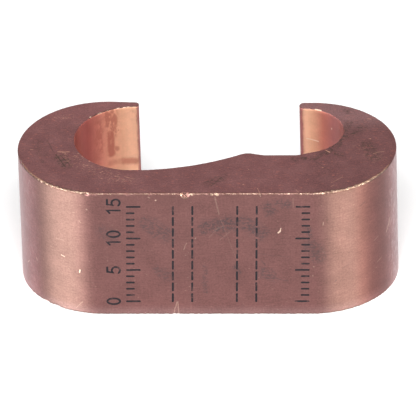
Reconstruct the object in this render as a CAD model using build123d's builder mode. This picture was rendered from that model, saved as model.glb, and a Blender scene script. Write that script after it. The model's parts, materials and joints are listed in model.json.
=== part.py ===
from build123d import *
import os
from math import asin, cos, degrees, radians, sin, sqrt, tan

# Grounding connector: one solid copper body, an extruded profile cut off to length.
# It stands on a cut end. +X runs from the run groove to the tap groove, +Y from the closed
# front face to the open back, and +Z along the two conductors.
# The origin is the middle of the base.

# Driving dimensions, in millimetres and degrees
body_length = 19.2           # cut length, along the conductors
edge_round = 0.2             # worn rounding round both cut faces

run_groove_diameter = 16.1   # seat of the ground rod or the thick run conductor
run_end_wall = 7.5           # run groove to the outer end
run_front_wall = 6.0         # run groove to the front face
run_hook_wall = 1.4          # run groove to the back of the body
run_hook_reach = 0.3         # how far the hook's tip passes the groove's centre
run_hook_fall = 4.0          # slope of the hook's back, down towards its tip
run_nose_radius = 0.5        # rounding of the hook's tip

tap_groove_diameter = 11.4   # seat of the thinner tap conductor
tap_end_wall = 7.2           # tap groove to the outer end
tap_front_wall = 10.2        # tap groove to the front face
tap_hook_wall = 1.5          # tap groove to the back of the body
tap_hook_reach = 0.5         # how far the hook's tip passes the groove's centre
tap_nose_radius = 0.7        # rounding of the hook's tip

groove_spacing = 22.55       # between the two groove centres
floor_drop = 0.5             # flat floor beside the tap groove, below the groove's lowest point
flank_angle = 20.0           # slope of the short flank from that floor up into the tap groove
ridge_setback = 7.3          # tap groove's centre to the crest of the ridge
ridge_rise = 0.65            # crest above the flat floor, before it is rounded
ridge_run = 2.4              # length of the crest's fall to the flat floor
ridge_radius = 2.0           # rounding of the crest
floor_radius = 3.0           # rounding where the floor meets the ridge and the flank
nose_limit = 0.45            # largest tip rounding, as a share of the hook's thickness there

# Outer sizes
run_radius = run_groove_diameter / 2
tap_radius = tap_groove_diameter / 2
run_depth = run_front_wall + run_groove_diameter + run_hook_wall
tap_depth = tap_front_wall + tap_groove_diameter + tap_hook_wall
body_width = run_end_wall + run_radius + groove_spacing + tap_radius + tap_end_wall
front_y = -run_depth / 2

# Both ends are half rounds that share the front face
run_end_radius = run_depth / 2
tap_end_radius = tap_depth / 2
run_end_x = run_end_radius - body_width / 2
tap_end_x = body_width / 2 - tap_end_radius
run_end_y = front_y + run_end_radius
tap_end_y = front_y + tap_end_radius

# Groove centres
run_x = run_end_wall + run_radius - body_width / 2
run_y = front_y + run_front_wall + run_radius
tap_x = run_x + groove_spacing
tap_y = front_y + tap_front_wall + tap_radius

# Run hook: its back leaves the end round on a falling tangent and stops at the tip
run_tip_x = run_x + run_hook_reach
run_tip_inner_y = run_y + sqrt(run_radius**2 - run_hook_reach**2)
run_back_x = run_end_x + run_end_radius * sin(radians(run_hook_fall))
run_back_y = run_end_y + run_end_radius * cos(radians(run_hook_fall))
run_tip_outer_y = run_back_y - (run_tip_x - run_back_x) * tan(radians(run_hook_fall))
run_nose = min(run_nose_radius, nose_limit * (run_tip_outer_y - run_tip_inner_y))

# Tap hook: its back is level
tap_tip_x = tap_x - tap_hook_reach
tap_tip_inner_y = tap_y + sqrt(tap_radius**2 - tap_hook_reach**2)
tap_back_y = tap_end_y + tap_end_radius
tap_nose = min(tap_nose_radius, nose_limit * (tap_back_y - tap_tip_inner_y))

# Saddle between the grooves: a flank tangent to the tap groove, a flat floor, a ridge, and
# a long hollow ramp that is level where it leaves the run groove and ends on the crest
floor_y = tap_y - tap_radius - floor_drop
flank_top_x = tap_x + tap_radius * sin(radians(flank_angle))
flank_top_y = tap_y - tap_radius * cos(radians(flank_angle))
flank_foot_x = flank_top_x - (flank_top_y - floor_y) / tan(radians(flank_angle))
crest_x = tap_x - ridge_setback
crest_y = floor_y + ridge_rise
ridge_foot_x = crest_x + ridge_run
ramp_rise = crest_y - (run_y - run_radius)
ramp_run = crest_x - run_x
ramp_radius = (ramp_run**2 + ramp_rise**2) / (2 * ramp_rise)
ramp_sweep = degrees(asin(ramp_run / ramp_radius))

# Angles at which the groove walls stop under the hook tips
run_stop = degrees(asin(run_hook_reach / run_radius))
tap_stop = degrees(asin(tap_hook_reach / tap_radius))

# Connector body
with BuildPart() as connector_body:
    with BuildSketch(Plane.XY) as profile:
        with BuildLine() as outline:
            # Front face, tap end and the back of the tap hook
            front = Line((run_end_x, front_y), (tap_end_x, front_y))
            tap_end = CenterArc((tap_end_x, tap_end_y), tap_end_radius, -90, 180)
            tap_back = Line(tap_end @ 1, (tap_tip_x, tap_back_y))
            tap_tip = Line(tap_back @ 1, (tap_tip_x, tap_tip_inner_y))
            # Tap groove, from the hook's tip round to the flank
            tap_wall = CenterArc(
                (tap_x, tap_y), tap_radius, 90 + tap_stop, flank_angle - tap_stop - 180
            )
            # Saddle
            flank = Line(tap_wall @ 1, (flank_foot_x, floor_y))
            floor = Line(flank @ 1, (ridge_foot_x, floor_y))
            ridge_fall = Line(floor @ 1, (crest_x, crest_y))
            ramp = CenterArc(
                (run_x, run_y - run_radius + ramp_radius), ramp_radius, ramp_sweep - 90, -ramp_sweep
            )
            # Run groove, from its lowest point round to the hook's tip
            run_wall = CenterArc((run_x, run_y), run_radius, -90, -180 - run_stop)
            run_tip = Line(run_wall @ 1, (run_tip_x, run_tip_outer_y))
            # Back of the run hook and the run end
            run_back = Line(run_tip @ 1, (run_back_x, run_back_y))
            run_end = CenterArc(
                (run_end_x, run_end_y), run_end_radius, 90 - run_hook_fall, 180 + run_hook_fall
            )
        make_face()
        # Soft corners of the saddle, then the rounded tips of both hooks
        for corner, radius in (
            (ridge_fall @ 1, ridge_radius),
            (floor @ 1, floor_radius),
            (flank @ 1, floor_radius),
            (tap_tip @ 0, tap_nose),
            (tap_tip @ 1, tap_nose),
            (run_tip @ 0, run_nose),
            (run_tip @ 1, run_nose),
        ):
            fillet(profile.vertices().sort_by_distance(corner)[0], radius=radius)
    extrude(amount=body_length)
    fillet(connector_body.faces().filter_by(Axis.Z).edges(), radius=edge_round)

connector_body.part.label = "connector_body"
os.makedirs("parts", exist_ok=True)
export_step(connector_body.part, "parts/connector_body.step")
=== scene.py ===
"""Dresses the grounding connector: its worn copper body, its plain gauge marks, and a pale studio."""
import json
import math

import bpy
import numpy as np
from bpy.props import FloatProperty, FloatVectorProperty, IntProperty, PointerProperty
from mathutils import Matrix, Vector


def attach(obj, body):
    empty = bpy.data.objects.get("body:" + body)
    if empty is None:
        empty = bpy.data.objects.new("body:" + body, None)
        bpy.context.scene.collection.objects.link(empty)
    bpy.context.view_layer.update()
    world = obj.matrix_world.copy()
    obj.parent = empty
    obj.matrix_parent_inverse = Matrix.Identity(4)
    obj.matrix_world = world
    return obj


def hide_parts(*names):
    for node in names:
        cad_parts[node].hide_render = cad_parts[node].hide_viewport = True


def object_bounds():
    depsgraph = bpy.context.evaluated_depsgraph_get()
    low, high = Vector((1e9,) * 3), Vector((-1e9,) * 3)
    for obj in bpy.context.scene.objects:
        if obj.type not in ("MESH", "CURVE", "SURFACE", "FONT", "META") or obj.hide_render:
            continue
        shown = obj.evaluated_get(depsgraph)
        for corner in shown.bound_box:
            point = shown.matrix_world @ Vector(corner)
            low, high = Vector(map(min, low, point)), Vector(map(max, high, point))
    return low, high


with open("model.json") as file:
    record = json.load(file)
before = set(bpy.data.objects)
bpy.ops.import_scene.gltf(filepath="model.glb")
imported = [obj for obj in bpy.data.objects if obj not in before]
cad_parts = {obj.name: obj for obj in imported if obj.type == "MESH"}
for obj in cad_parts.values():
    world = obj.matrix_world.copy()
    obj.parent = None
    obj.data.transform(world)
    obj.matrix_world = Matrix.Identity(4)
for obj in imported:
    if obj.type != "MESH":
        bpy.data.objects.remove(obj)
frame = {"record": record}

bl_info = {
    "name": "Grounding connector",
    "version": (1, 0, 0),
    "blender": (4, 5, 0),
    "location": "3D View > Sidebar > Connector",
    "description": "Builds a worn copper grounding connector and the studio that shows it",
    "category": "Object",
}

MM = 0.001
CAD_LOW, CAD_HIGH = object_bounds()
MOUNTS = {mount["name"]: mount for mount in frame["record"]["mounts"]}
RUN = MOUNTS["run_groove"]
TAP = MOUNTS["tap_groove"]
UNROLLED = "unrolled"
EDGE_WEAR = "edge_wear"
SKIN_PART, GROOVE_PART, CUT_PART = range(3)
PROFILE_PIECES = 8
FINE = np.linspace(0, PROFILE_PIECES, 12001)


def length(name, value, description):
    """A size in metres."""
    return FloatProperty(name=name, description=description, default=value, unit="LENGTH", precision=5)


def turn(name, value, description):
    """An angle in radians."""
    return FloatProperty(name=name, description=description, default=value, subtype="ANGLE")


def amount(name, value, description, low=0.0, high=1.0):
    """A plain number with its limits."""
    return FloatProperty(name=name, description=description, default=value, min=low, max=high)


def colour(name, value, description):
    """A linear colour."""
    return FloatVectorProperty(
        name=name, description=description, default=value, size=3, subtype="COLOR", min=0.0, max=1.0
    )


class ConnectorShape(bpy.types.PropertyGroup):
    """Sizes of the extruded profile."""

    run_radius: length("Run groove radius", RUN["dims"]["r_mm"] * MM, "Seat of the thick run conductor")
    tap_radius: length("Tap groove radius", TAP["dims"]["r_mm"] * MM, "Seat of the thinner tap conductor")
    run_hook_reach: length("Run hook reach", 0.3 * MM, "How far the run hook passes its groove's centre")
    run_hook_fall: turn("Run hook fall", math.radians(4.0), "Slope of the run hook's back")
    run_nose: length("Run hook tip", 0.5 * MM, "Rounding of the run hook's tip")
    tap_hook_reach: length("Tap hook reach", 0.5 * MM, "How far the tap hook passes its groove's centre")
    tap_hook_wall: length("Tap hook wall", 1.5 * MM, "Tap groove to the back of the body")
    tap_nose: length("Tap hook tip", 0.68 * MM, "Rounding of the tap hook's tip")
    floor_drop: length("Floor drop", 0.5 * MM, "Flat floor below the tap groove's lowest point")
    flank_angle: turn("Flank angle", math.radians(20.0), "Slope from the flat floor into the tap groove")
    ridge_setback: length("Ridge setback", 7.3 * MM, "Tap groove's centre to the crest of the ridge")
    ridge_rise: length("Ridge rise", 0.65 * MM, "Crest above the flat floor, before it is rounded")
    ridge_run: length("Ridge run", 2.4 * MM, "Length of the crest's fall to the flat floor")
    ridge_radius: length("Ridge rounding", 2.0 * MM, "Rounding of the crest")
    floor_radius: length("Floor rounding", 3.0 * MM, "Rounding where the floor meets ridge and flank")
    edge_round: length("Edge rounding", 0.2 * MM, "Worn rounding along the front's cut edges")
    back_round: length("Back edge rounding", 0.09 * MM, "Rounding of the other, sharper cut edges")
    skin_depth: length("Skin depth", 0.02 * MM, "How far the skin lies inside the body's box, for the ink")
    columns: IntProperty(name="Columns", description="Steps along the profile", default=560, min=80)


class ConnectorFinish(bpy.types.PropertyGroup):
    """Colours and roughness of the copper."""

    skin: colour("Skin", (0.162, 0.073, 0.068), "Tarnished copper of the outer skin")
    # Partly copper brightened by handling, partly a painted highlight where the side lamps' bands fall on the
    # skin.
    skin_light: colour("Handled skin", (0.205, 0.118, 0.098), "Brighter copper where the skin was handled")
    # A painted sheen round both ends of the skin. In the grooves the same colour is the saddle's tarnish.
    skin_end: colour("Skin at the ends", (0.260, 0.115, 0.115), "Mauve skin round both ends")
    cut: colour("Cut face", (0.180, 0.074, 0.074), "Dull copper of the sawn faces")
    cut_light: colour("Cut streaks", (0.235, 0.103, 0.101), "Paler streaks on the sawn faces")
    vein: colour("Veins", (0.46, 0.155, 0.12), "Reddish veins on the sawn faces")
    # From bright near the hooks' tips to dark red deep down, the groove colours are partly copper that is
    # cleaner near the tips and darker tarnish deep down, and partly painted highlight near the tips and
    # painted shade deep in the grooves.
    groove: colour("Groove", (0.98, 0.56, 0.37), "Clean copper under the tips of both hooks")
    clean: colour("Clean groove", (0.88, 0.475, 0.305), "Clean copper beside the tips")
    middle: colour("Groove's middle", (0.63, 0.22, 0.165), "Orange copper further in")
    deep: colour("Deep groove", (0.40, 0.095, 0.080), "Dark red copper deep in the run groove")
    deep_tap: colour("Deep tap groove", (0.46, 0.172, 0.162), "Dark red copper deep in the tap groove")
    stain: colour("Stain", (0.45, 0.130, 0.092), "Red-brown stains on the groove walls")
    worn: colour("Worn copper", (0.74, 0.54, 0.42), "Bright copper of scratches and chips")
    fresh: colour("Fresh scratch", (1.0, 0.80, 0.64), "Pale scratches on the groove walls")
    rim: colour("Worn edge", (0.36, 0.250, 0.185), "Rubbed metal of the cut edges")
    dull: colour("Dull edge", (0.105, 0.052, 0.041), "Tan tarnish of the cut edges and of the big dent")
    # Pale mauve: a painted highlight round both ends of the skin. It is also blended in paler towards the
    # skin's base and at the back right of the top face.
    dust: colour("Dust", (0.42, 0.29, 0.29), "Pale mauve film, rubbed on in patches")
    fleck: colour("Fleck", (0.80, 0.42, 0.28), "Orange flecks and scratches on the sawn faces")
    smudge: colour("Smudge", (0.055, 0.045, 0.048), "Grey-black smudges")
    grime: colour("Grime", (0.050, 0.036, 0.026), "Olive-black grime on the sawn faces")
    skin_roughness: amount("Skin roughness", 0.36, "Roughness of the outer skin")
    cut_roughness: amount("Cut roughness", 0.58, "Roughness of the sawn faces")
    groove_roughness: amount("Groove roughness", 0.36, "Roughness of the groove walls")


class ConnectorMarks(bpy.types.PropertyGroup):
    """Plain gauge marks printed on the front."""

    ink: colour("Ink", (0.008, 0.007, 0.009), "Dark printing ink")
    stroke: length("Stroke", 0.28 * MM, "Width of every line")
    rise: length("Rise", 0.012 * MM, "How far the ink stands out from the skin")
    sink: length("Sink", 0.010 * MM, "How far the ink reaches into the skin")
    pitch: length("Pitch", 1.0 * MM, "Distance between two ticks")
    foot: length("Foot", 2.1 * MM, "Height of the lowest tick")
    short_tick: length("Short tick", 0.9 * MM, "Length of a plain tick")
    numeral: length("Numeral height", 1.7 * MM, "Height of a number, and length of every fifth tick")
    lean: turn("Lean", math.radians(1.6), "How far the print leans to the right")


class ConnectorStage(bpy.types.PropertyGroup):
    """Camera, floor and light."""

    azimuth: turn("Azimuth", math.radians(3.18), "Camera's turn to the right of the front")
    elevation: turn("Elevation", math.radians(32.34), "Camera's height over the horizon")
    roll: turn("Roll", math.radians(1.75), "Tilt of the object in the picture, right side up")
    distance: length("Distance", 1.0938, "Camera to the middle of the base")
    lens: amount("Lens", 697.9, "Focal length in millimetres", 1.0, 2000.0)
    aim_right: length("Aim right", -0.35 * MM, "Picture's centre beside the middle of the base")
    aim_up: length("Aim up", 8.01 * MM, "Picture's centre above the middle of the base")
    floor: colour("Floor", (0.82, 0.82, 0.82), "Colour of the floor")
    near_lift: amount("Near lift", 0.30, "What the floor adds for the picture near the object")
    far_lift: amount("Far lift", 0.35, "What the floor adds for the picture far from the object")
    fill: amount("Fill", 0.22, "Plain light from all round", 0.0, 10.0)
    left_lamp: amount("Left lamp", 24.6, "Power of the low lamp on the left, in watts", 0.0, 1000.0)
    right_lamp: amount("Right lamp", 16.5, "Power of the low lamp on the right, in watts", 0.0, 1000.0)
    front_lamp: amount("Front lamp", 15.0, "Power of the high lamp in front, in watts", 0.0, 1000.0)


def arc(centre, radius, start, end, count=160):
    """Points on a circle: the centre plus the radius times cosine and sine, at even angles from start to
    end."""
    angle = np.linspace(start, end, count)
    return np.column_stack([centre[0] + radius * np.cos(angle), centre[1] + radius * np.sin(angle)])


def angle_of(point, centre):
    """Direction from the centre to the point, in radians."""
    return math.atan2(point[1] - centre[1], point[0] - centre[0])


def short_arc(centre, radius, start_point, end_point, count=24):
    """The arc from one point of a circle to another, the short way round."""
    start = angle_of(start_point, centre)
    sweep = (angle_of(end_point, centre) - start + math.pi) % (2 * math.pi) - math.pi
    return arc(centre, radius, start, start + sweep, count)


def round_corner(before, corner, after, radius):
    """Arc that touches both straight sides of a corner: its centre is on the bisector, radius over the
    sine of half the corner's angle away, and it touches each side at radius over the tangent of that half."""
    side_a = (before - corner) / np.linalg.norm(before - corner)
    side_b = (after - corner) / np.linalg.norm(after - corner)
    half = math.acos(float(np.dot(side_a, side_b))) / 2
    bisector = (side_a + side_b) / np.linalg.norm(side_a + side_b)
    centre = corner + bisector * radius / math.sin(half)
    touch = radius / math.tan(half)
    return short_arc(centre, radius, corner + side_a * touch, corner + side_b * touch)


def round_tip(groove, groove_radius, face_x, side, radius):
    """Arc between a hook's upright tip face and its groove: its centre is one radius behind the face and
    the two radii together away from the groove's centre. It runs from the face to the groove."""
    centre_x = face_x + side * radius
    centre_y = groove[1] + math.sqrt((groove_radius + radius) ** 2 - (centre_x - groove[0]) ** 2)
    centre = np.array([centre_x, centre_y])
    touch = groove + (centre - groove) * groove_radius / (groove_radius + radius)
    return short_arc(centre, radius, np.array([face_x, centre_y]), touch)


def round_crest(ramp, ramp_radius, foot, crest, radius):
    """Arc over the ridge's crest, from the hollow ramp to the straight fall: its centre is one radius
    under the fall and the two radii together away from the ramp's centre."""
    along = (crest - foot) / np.linalg.norm(crest - foot)
    down = np.array([along[1], -along[0]])
    down = down if down[1] < 0 else -down
    start = foot + down * radius - ramp
    middle = float(np.dot(start, along))
    reach = math.sqrt(middle**2 - float(np.dot(start, start)) + (ramp_radius + radius) ** 2)
    centres = [ramp + start + along * far for far in (-middle - reach, -middle + reach)]
    centre = min(centres, key=lambda place: np.linalg.norm(place - crest))
    on_ramp = ramp + (centre - ramp) * ramp_radius / (ramp_radius + radius)
    return short_arc(centre, radius, on_ramp, centre - down * radius)


def saddle_pieces(shape, run, tap):
    """The saddle between the grooves in two pieces: the hollow ramp from the run groove's lowest point, then
    the ridge, the flat floor, and the flank that ends on the tap groove."""
    floor_y = tap[1] - shape.tap_radius - shape.floor_drop
    slope = shape.flank_angle
    flank_top = tap + shape.tap_radius * np.array([math.sin(slope), -math.cos(slope)])
    flank_foot = np.array([flank_top[0] - (flank_top[1] - floor_y) / math.tan(slope), floor_y])
    crest = np.array([tap[0] - shape.ridge_setback, floor_y + shape.ridge_rise])
    ridge_foot = np.array([crest[0] + shape.ridge_run, floor_y])
    run_bottom = run - np.array([0, shape.run_radius])
    rise, reach = crest[1] - run_bottom[1], crest[0] - run[0]
    ramp_radius = (reach**2 + rise**2) / (2 * rise)
    ramp = run_bottom + np.array([0, ramp_radius])
    crest_arc = round_crest(ramp, ramp_radius, ridge_foot, crest, shape.ridge_radius)
    foot_arc = round_corner(crest, ridge_foot, flank_foot, shape.floor_radius)
    flank_arc = round_corner(ridge_foot, flank_foot, flank_top, shape.floor_radius)
    ramp_arc = arc(ramp, ramp_radius, -math.pi / 2, angle_of(crest_arc[0], ramp))
    return ramp_arc, np.vstack([crest_arc, foot_arc, flank_arc, flank_top])


def profile_pieces(shape):
    """The outer and the inner side of the profile, from the run hook's tip to the tap hook's tip, as two
    lists of pieces. Piece n of one side lies across the copper from piece n of the other."""
    low = np.array([CAD_LOW.x, CAD_LOW.y]) + shape.skin_depth
    high = np.array([CAD_HIGH.x, CAD_HIGH.y]) - shape.skin_depth
    run = np.array(RUN["pos_m"][:2])
    tap = np.array(TAP["pos_m"][:2])
    run_r, tap_r = shape.run_radius, shape.tap_radius

    run_end_r = (high[1] - low[1]) / 2
    run_end = np.array([low[0] + run_end_r, low[1] + run_end_r])
    tap_back_y = tap[1] + tap_r + shape.tap_hook_wall - shape.skin_depth
    tap_end_r = (tap_back_y - low[1]) / 2
    tap_end = np.array([high[0] - tap_end_r, low[1] + tap_end_r])

    # Run hook's tip
    fall = shape.run_hook_fall
    back_start = run_end + run_end_r * np.array([math.sin(fall), math.cos(fall)])
    run_tip_x = run[0] + shape.run_hook_reach
    run_corner = np.array([run_tip_x, back_start[1] - (run_tip_x - back_start[0]) * math.tan(fall)])
    run_inner_tip = round_tip(run, run_r, run_tip_x, -1, shape.run_nose)
    run_outer_tip = round_corner(run_inner_tip[0], run_corner, back_start, shape.run_nose)
    run_middle = (run_inner_tip[0] + run_outer_tip[0]) / 2

    # Tap hook's tip
    tap_tip_x = tap[0] - shape.tap_hook_reach
    tap_corner = np.array([tap_tip_x, tap_back_y])
    tap_back = np.array([tap_end[0], tap_back_y])
    tap_inner_tip = round_tip(tap, tap_r, tap_tip_x, 1, shape.tap_nose)
    tap_outer_tip = round_corner(tap_inner_tip[0], tap_corner, tap_back, shape.tap_nose)
    tap_middle = (tap_inner_tip[0] + tap_outer_tip[0]) / 2

    quarter = math.pi / 2
    ramp_arc, ridge_and_floor = saddle_pieces(shape, run, tap)
    inner = [
        np.vstack([run_middle, run_inner_tip]),
        arc(run, run_r, angle_of(run_inner_tip[-1], run), 2 * quarter),
        arc(run, run_r, 2 * quarter, 3 * quarter),
        ramp_arc,
        ridge_and_floor,
        arc(tap, tap_r, shape.flank_angle - quarter, 0),
        arc(tap, tap_r, 0, angle_of(tap_inner_tip[-1], tap)),
        np.vstack([tap_inner_tip[::-1], tap_middle]),
    ]
    below_run = np.array([run[0], low[1]])
    below_crest = np.array([ridge_and_floor[0][0], low[1]])
    below_tap_end = np.array([tap_end[0], low[1]])
    outer = [
        np.vstack([run_middle, run_outer_tip]),
        np.vstack([run_outer_tip[-1], arc(run_end, run_end_r, quarter - fall, 2 * quarter)]),
        np.vstack([arc(run_end, run_end_r, 2 * quarter, 3 * quarter), below_run]),
        np.array([below_run, below_crest]),
        np.array([below_crest, below_tap_end]),
        arc(tap_end, tap_end_r, -quarter, 0),
        np.vstack([arc(tap_end, tap_end_r, 0, quarter), tap_outer_tip[-1]]),
        np.vstack([tap_outer_tip[::-1], tap_middle]),
    ]
    return outer, inner


def run_length(points):
    """Length along a chain of points up to each of them."""
    return np.concatenate([[0.0], np.cumsum(np.hypot(*np.diff(points, axis=0).T))])


def measured(pieces):
    """One table of numbers and points for a chain of pieces: piece n covers the numbers from n to n + 1,
    in proportion to the length along it."""
    runs = [run_length(piece) for piece in pieces]
    marks = [number + run / run[-1] for number, run in enumerate(runs)]
    return np.concatenate(marks), np.vstack(pieces)


def sample(table, numbers):
    """Points of a measured chain at the numbers, and the length along the chain up to each."""
    marks, points = table
    where = np.column_stack([np.interp(numbers, marks, points[:, axis]) for axis in (0, 1)])
    return where, np.interp(numbers, marks, run_length(points))


def outer_places(table):
    """Fine points of the outer side, the length up to each, and its distance in millimetres from the
    front's middle, to the right."""
    points, run = sample(table, FINE)
    front = points[:, 1] < points[:, 1].min() + 0.001 * MM
    return points, run, (run - np.interp(0.0, points[front, 0], run[front])) / MM


# Places on the skin are (along, up) in millimetres: along the skin from the front's middle, to the right,
# and up from the base. Dents give the ball that made them: place, radius and depth, in millimetres.
BIG_DENT = (-2.5, 19.2, 0.95, 0.30)
EDGE_DENTS = (
    (-22.4, 19.2, 0.5, 0.10),
    (-15.7, 19.2, 0.6, 0.20),
    (-14.65, 19.2, 0.35, 0.15),
    (-10.2, 19.2, 0.45, 0.14),
    (-7.15, 19.2, 0.4, 0.14),
    (-1.55, 19.2, 0.4, 0.13),
    (1.4, 19.2, 0.4, 0.11),
    (1.85, 19.2, 0.45, 0.13),
    (7.3, 19.2, 0.35, 0.13),
    (21.65, 19.2, 0.5, 0.11),
    (23.65, 19.2, 0.45, 0.10),
    (-28.6, 19.2, 0.7, 0.24),
    (-27.6, 19.2, 0.5, 0.20),
    (-4.4, 0.0, 0.4, 0.13),
    (-3.9, 0.0, 0.35, 0.11),
    (-20.8, 0.0, 1.6, 0.16),
    (-22.6, 0.0, 1.8, 0.14),
)
SKIN_DENTS = (
    (28.2, 10.9, 0.9, 0.07),
    (27.6, 9.8, 0.7, 0.06),
    (28.9, 11.6, 0.6, 0.06),
    (10.05, 13.45, 0.35, 0.05),
    (-17.0, 6.7, 0.35, 0.05),
    (15.85, 14.3, 0.3, 0.04),
)

# How bright the cut edges are worn along the skin, 0 to 1: (along, wear), for the top and the bottom edge
TOP_WEAR = (
    (-33.0, 0.05), (-30.5, 0.45), (-27.5, 0.55), (-25.0, 0.60), (-21.0, 0.90), (-19.6, 1.0), (-16.4, 1.0),
    (-14.6, 0.38), (-10.0, 0.32), (-4.0, 0.40), (5.0, 0.38), (13.0, 0.35), (16.2, 0.80), (19.0, 0.95),
    (22.0, 0.85), (25.5, 0.75), (28.0, 0.30), (30.0, 0.05),
)
BOTTOM_WEAR = ((-30.0, 0.0), (-24.0, 0.25), (-14.0, 0.30), (14.0, 0.30), (24.0, 0.25), (30.0, 0.0))
RUN_HOOK_WEAR, TAP_HOOK_WEAR, INNER_WEAR = 0.50, 0.12, 0.06
# Where a hook's wear starts across the body and over what stretch it grows, in millimetres
HOOK_START, HOOK_STRETCH = 7.0, 1.5
# By how much the big dent dulls the edge and crowds the columns, and over what stretch, in millimetres
DENT_DULLING, DULLED_STRETCH = 0.7, 0.6
DENT_CROWDING, CROWDED_STRETCH = 1.4, 1.1
# The scraped stretch of the top edge: its middle and stretch in millimetres, and how much it swells
SCRAPED_PLACE, SCRAPED_STRETCH, SCRAPED_SWELL = 15.8, 2.6, 0.55
# Share of a cut edge's radius by which worn crumbs and slow waves change it
CRUMB_SHARE, WAVER_SHARE = 0.48, 0.10
# How far from the front face the rounding has become the back's, and over what stretch it fades
FADE_END, FADE_STRETCH = 9 * MM, 6 * MM
# What the rounding of the lower cut edge has taken off where a dent comes in at 45 degrees
CORNER_LOSS = 0.08 * MM

# Angles at which a cut edge is rounded over, from the cut face to the wall
ROUNDING = np.radians([90, 72, 54, 36, 18])
# Distances from a cut edge at which rows of points lie close together
NEAR_EDGE = np.array([0, 0.06, 0.13, 0.22, 0.33, 0.47, 0.65, 0.9, 1.25, 1.7]) * MM
# Wear fades by this distance into the wall and the cut faces, where it has this share of the edge's own
WEAR_FADE = 0.10 * MM
WEAR_SHARE = 0.45
# Random seeds and rows across of the lower and the upper cut edge
LOWER_SEED, UPPER_SEED = 3, 5
LOWER_LINES, UPPER_LINES = 18, 30
WALL_LINES = 18


def hump(along, centre, spread):
    """A smooth hump along the skin: one at its centre, and e to the power of minus the square of the
    distance over the spread elsewhere."""
    return np.exp(-(((along - centre) / spread) ** 2))


def edge_strength(loop, along, on_skin, top):
    """How bright each point of a cut edge is worn: from the tables on the skin, and inside mostly at the top
    of both hooks."""
    places, wear = np.array(TOP_WEAR if top else BOTTOM_WEAR).T
    on_hook = np.clip((loop[:, 1] / MM - HOOK_START) / HOOK_STRETCH, 0, 1)
    hook = on_hook * np.where(loop[:, 0] < 0, RUN_HOOK_WEAR, TAP_HOOK_WEAR)
    dented = 1 - DENT_DULLING * hump(along, BIG_DENT[0], DULLED_STRETCH) if top else 1.0
    return np.where(on_skin, np.interp(along, places, wear) * dented, INNER_WEAR + (hook if top else 0.0))


def waves(along, count, coarsest, finest, seed):
    """Smooth closed noise from -1 to 1: cosines with coarsest to finest turns round the loop, random phases
    and strengths. along runs from 0 to 1 once round."""
    dice = np.random.default_rng(seed)
    turns = dice.integers(coarsest, finest, count)
    phase = dice.uniform(0, 2 * np.pi, count)
    strength = dice.uniform(0.3, 1.0, count) / np.sqrt(count / 3)
    return np.clip((strength * np.cos(2 * np.pi * np.outer(along, turns) + phase)).sum(axis=1), -1, 1)


def edge_rounding(shape, loop, along, share, on_skin, strength, top, seed):
    """Radius of a cut edge at each point of the loop. The front's rounding fades to the back's, swells where
    the top edge is scraped, wavers, and crumbles where it is worn."""
    front = np.clip((CAD_LOW.y + FADE_END - loop[:, 1]) / FADE_STRETCH, 0, 1)
    plain = shape.back_round + (shape.edge_round - shape.back_round) * front
    scraped = SCRAPED_SWELL * hump(along, SCRAPED_PLACE, SCRAPED_STRETCH) * on_skin if top else 0.0
    crumbs = CRUMB_SHARE * np.sqrt(strength) * waves(share, 90, 90, 330, seed)
    return plain * (1.0 + scraped + WAVER_SHARE * waves(share, 40, 1, 60, seed + 1) + crumbs)


def rim_rows(loop, normal, edge, strength, height, top):
    """Rows of points that round a cut edge over, with their wear. At each angle the loop moves in along its
    normal by the radius times one minus the cosine, and lies the radius times one minus the sine away from
    the cut face. The wear is strongest near 45 degrees."""
    level, side, bend = (height, -1, ROUNDING[::-1]) if top else (0.0, 1, ROUNDING)
    inward = [loop - normal * (edge * (1 - np.cos(angle)))[:, None] for angle in bend]
    heights = [level + side * edge * (1 - np.sin(angle)) for angle in bend]
    rows = [np.column_stack(row) for row in zip(inward, heights)]
    return rows, [np.clip(1.25 - abs(angle - math.pi / 4), 0, 1) * strength for angle in bend]


def press(points, centre, radius, push):
    """A round-nosed tool: each point inside the ball moves along push until it lies on the ball."""
    offset = points - centre
    along = offset @ push
    inside = radius**2 - (offset**2).sum(axis=1)
    move = np.where(inside > 0, np.sqrt(np.maximum(along**2 + inside, 0)) - along, 0.0)
    return points + move[:, None] * push


def body_rows(height):
    """Heights of the wall's rows as shares of the wall, close together near both cut edges."""
    middle = np.linspace(NEAR_EDGE[-1], height - NEAR_EDGE[-1], WALL_LINES)[1:-1]
    return np.concatenate([NEAR_EDGE, middle, height - NEAR_EDGE[::-1]]) / height


def cap_shares(width, count):
    """Shares of the way across a cut face for each column and row. The rows start close together at both
    rims, where the copper is thick, and are even where it is thin."""
    near = NEAR_EDGE[:-1]
    row = np.arange(count)[:, None]
    even = np.linspace(0, 1, count)[:, None]
    steps = np.concatenate([near, np.full(count - len(near), np.inf)])[:, None]
    low = np.minimum(steps / np.maximum(width, 1e-9), even)
    high = 1 - np.minimum(steps[::-1] / np.maximum(width, 1e-9), even[::-1])
    first, last = len(near) - 1, count - len(near)
    share = np.clip((row - first) / (last - first), 0, 1)
    middle = low[first] + (high[last] - low[first]) * share
    return np.where((row > first) & (row < last), middle, np.where(row < count // 2, low, high))


def quads(index):
    """Faces of a grid of vertex numbers, as rows of four."""
    return np.stack([index[:-1, :-1], index[:-1, 1:], index[1:, 1:], index[1:, :-1]], axis=-1)


def closing(rows):
    """A table of rows round the loop with its first column repeated at the end."""
    return np.concatenate([rows, rows[:, :1]], axis=1)


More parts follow.
